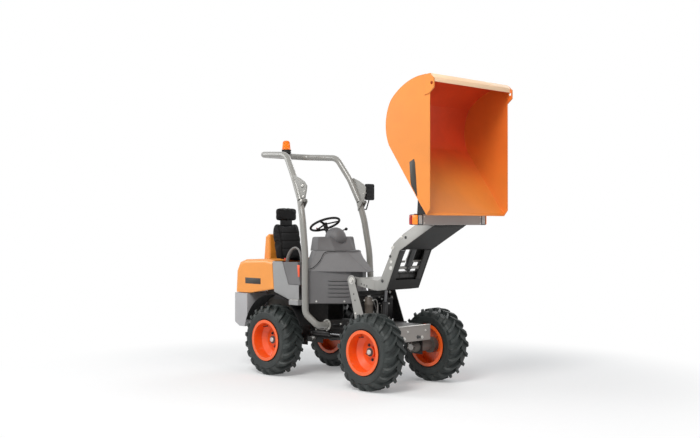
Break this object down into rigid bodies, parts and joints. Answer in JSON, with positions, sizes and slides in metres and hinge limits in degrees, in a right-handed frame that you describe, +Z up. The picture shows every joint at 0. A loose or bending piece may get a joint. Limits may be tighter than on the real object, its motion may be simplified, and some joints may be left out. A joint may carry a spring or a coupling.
{
  "type": "high-tip articulated site dumper",
  "caption": "Compact articulated four-wheel site dumper with its skip raised on a cranked boom and tipped forward, folding roll hoop, driver seat and side-view console.",
  "frame": {"origin": "on the ground, in the middle of the machine's box", "axes": "+X forward to the skip, +Y to the driver's left, +Z up"},
  "size_m": [3.129, 1.2095, 3.0219],
  "materials": {
    "skip_paint": "satin orange paint",
    "bonnet_paint": "satin orange paint",
    "wheel_paint": "gloss red-orange paint",
    "tyre": "matt black rubber",
    "hoop_paint": "satin warm grey paint",
    "boom_paint": "satin light grey paint",
    "frame_paint": "matt black paint",
    "weight_paint": "satin grey paint",
    "console_plastic": "fine-grained grey plastic",
    "dark_plastic": "matt black plastic",
    "panel_plastic": "satin light grey plastic",
    "seat_vinyl": "black vinyl",
    "amber_lens": "clear amber plastic",
    "cylinder_steel": "bright rod, satin barrel",
    "cast_grey": "painted casting"
  },
  "bodies": {
    "rear_chassis": {"rear_frame": "frame_paint", "counterweight": "weight_paint", "engine": "cast_grey", "rear_fenders": "dark_plastic", "floor_deck": "frame_paint", "side_steps": "panel_plastic", "side_panels": "panel_plastic", "side_boxes": "console_plastic", "seat_base": "console_plastic", "seat_cushion": "seat_vinyl", "seat_back": "seat_vinyl", "headrest": "seat_vinyl", "console_lower": "console_plastic", "console_hood": "console_plastic", "console_tower": "console_plastic", "column_cowl": "console_plastic", "steering_column": "dark_plastic", "rops_uprights": "hoop_paint", "mirror_housing": "dark_plastic", "rear_wheel_motors": "cast_grey"},
    "bonnet_lid": {"bonnet": "bonnet_paint"},
    "steering_wheel_body": {"steering_wheel": "dark_plastic"},
    "rops_top": {"rops_hoop": "hoop_paint", "beacon_base": "dark_plastic", "beacon_lens": "amber_lens"},
    "front_chassis": {"front_frame": "frame_paint", "front_plate": "weight_paint", "boom_posts": "boom_paint", "front_wheel_motors": "cast_grey"},
    "boom_arm": {"boom": "boom_paint", "head_beam": "boom_paint", "head_lamps": "dark_plastic"},
    "tipping_skip": {"skip": "skip_paint"},
    "lift_barrel": {"lift_cylinder_barrel": "cylinder_steel"},
    "lift_rod": {"lift_cylinder_rod": "cylinder_steel"},
    "tip_barrel": {"tip_cylinder_barrel": "cylinder_steel"},
    "tip_rod": {"tip_cylinder_rod": "cylinder_steel"},
    "steer_barrel": {"steer_cylinder_barrel": "cylinder_steel"},
    "steer_rod": {"steer_cylinder_rod": "cylinder_steel"},
    "wheel_front_left": {"tyre_front_left": "tyre", "rim_front_left": "wheel_paint"},
    "wheel_front_right": {"tyre_front_right": "tyre", "rim_front_right": "wheel_paint"},
    "wheel_rear_left": {"tyre_rear_left": "tyre", "rim_rear_left": "wheel_paint"},
    "wheel_rear_right": {"tyre_rear_right": "tyre", "rim_rear_right": "wheel_paint"}
  },
  "joints": [
    {"name": "articulation", "type": "hinge", "parent": "rear_chassis", "child": "front_chassis", "pos_m": [-0.105, 0, 0.48], "axis": [0, 0, 1], "range_deg": [-33, 33]},
    {"name": "boom_lift", "type": "hinge", "parent": "front_chassis", "child": "boom_arm", "pos_m": [0.17, 0, 1.055], "axis": [0, 1, 0], "range_deg": [0, 42]},
    {"name": "skip_tip", "type": "hinge", "parent": "boom_arm", "child": "tipping_skip", "pos_m": [1.085, 0, 1.885], "axis": [0, -1, 0], "range_deg": [0, 128]},
    {"name": "bonnet_hinge", "type": "hinge", "parent": "rear_chassis", "child": "bonnet_lid", "pos_m": [-1.5525, 0, 0.871], "axis": [0, -1, 0], "range_deg": [0, 60]},
    {"name": "rops_fold", "type": "hinge", "parent": "rear_chassis", "child": "rops_top", "pos_m": [-0.395, 0, 1.89], "axis": [0, 1, 0], "range_deg": [0, 150]},
    {"name": "steering_turn", "type": "hinge", "parent": "rear_chassis", "child": "steering_wheel_body", "pos_m": [-0.546, 0, 1.64], "axis": [-0.4227, 0, 0.9063], "range_deg": [-495, 495]},
    {"name": "lift_barrel_swing", "type": "hinge", "parent": "front_chassis", "child": "lift_barrel", "pos_m": [0.345, 0, 0.48], "axis": [0, -1, 0], "range_deg": [0, 10.94]},
    {"name": "lift_rod_slide", "type": "slide", "parent": "lift_barrel", "child": "lift_rod", "axis": [0.0939, 0, 0.9956], "range_m": [-0.1396, 0]},
    {"name": "tip_barrel_swing", "type": "hinge", "parent": "boom_arm", "child": "tip_barrel", "pos_m": [0.692, 0, 1.2], "axis": [0, -1, 0], "range_deg": [0, 3.22]},
    {"name": "tip_rod_slide", "type": "slide", "parent": "tip_barrel", "child": "tip_rod", "axis": [0.4191, 0, 0.908], "range_m": [-0.3562, 0]},
    {"name": "steer_barrel_swing", "type": "hinge", "parent": "rear_chassis", "child": "steer_barrel", "pos_m": [-0.525, -0.21, 0.468], "axis": [0, 0, 1], "range_deg": [-3.17, 3.17]},
    {"name": "steer_rod_slide", "type": "slide", "parent": "steer_barrel", "child": "steer_rod", "axis": [0.9927, 0.1203, 0], "range_m": [-0.0875, 0.0875]},
    {"name": "wheel_front_left_spin", "type": "hinge", "parent": "front_chassis", "child": "wheel_front_left", "pos_m": [0.645, 0.4725, 0.38], "axis": [0, 1, 0], "continuous": true},
    {"name": "wheel_front_right_spin", "type": "hinge", "parent": "front_chassis", "child": "wheel_front_right", "pos_m": [0.645, -0.4725, 0.38], "axis": [0, 1, 0], "continuous": true},
    {"name": "wheel_rear_left_spin", "type": "hinge", "parent": "rear_chassis", "child": "wheel_rear_left", "pos_m": [-0.855, 0.4725, 0.38], "axis": [0, 1, 0], "continuous": true},
    {"name": "wheel_rear_right_spin", "type": "hinge", "parent": "rear_chassis", "child": "wheel_rear_right", "pos_m": [-0.855, -0.4725, 0.38], "axis": [0, 1, 0], "continuous": true}
  ],
  "couplings": [
    {"joint": "lift_barrel_swing", "follows": "boom_lift", "ratio": 0.26015},
    {"joint": "lift_rod_slide", "follows": "boom_lift", "m_per_rad": -0.19033},
    {"joint": "tip_barrel_swing", "follows": "skip_tip", "ratio": 0.025097},
    {"joint": "tip_rod_slide", "follows": "skip_tip", "m_per_rad": -0.1594},
    {"joint": "steer_barrel_swing", "follows": "articulation", "ratio": 0.095777},
    {"joint": "steer_rod_slide", "follows": "articulation", "m_per_rad": 0.15169},
    {"joint": "steering_turn", "follows": "articulation", "ratio": 15}
  ]
}
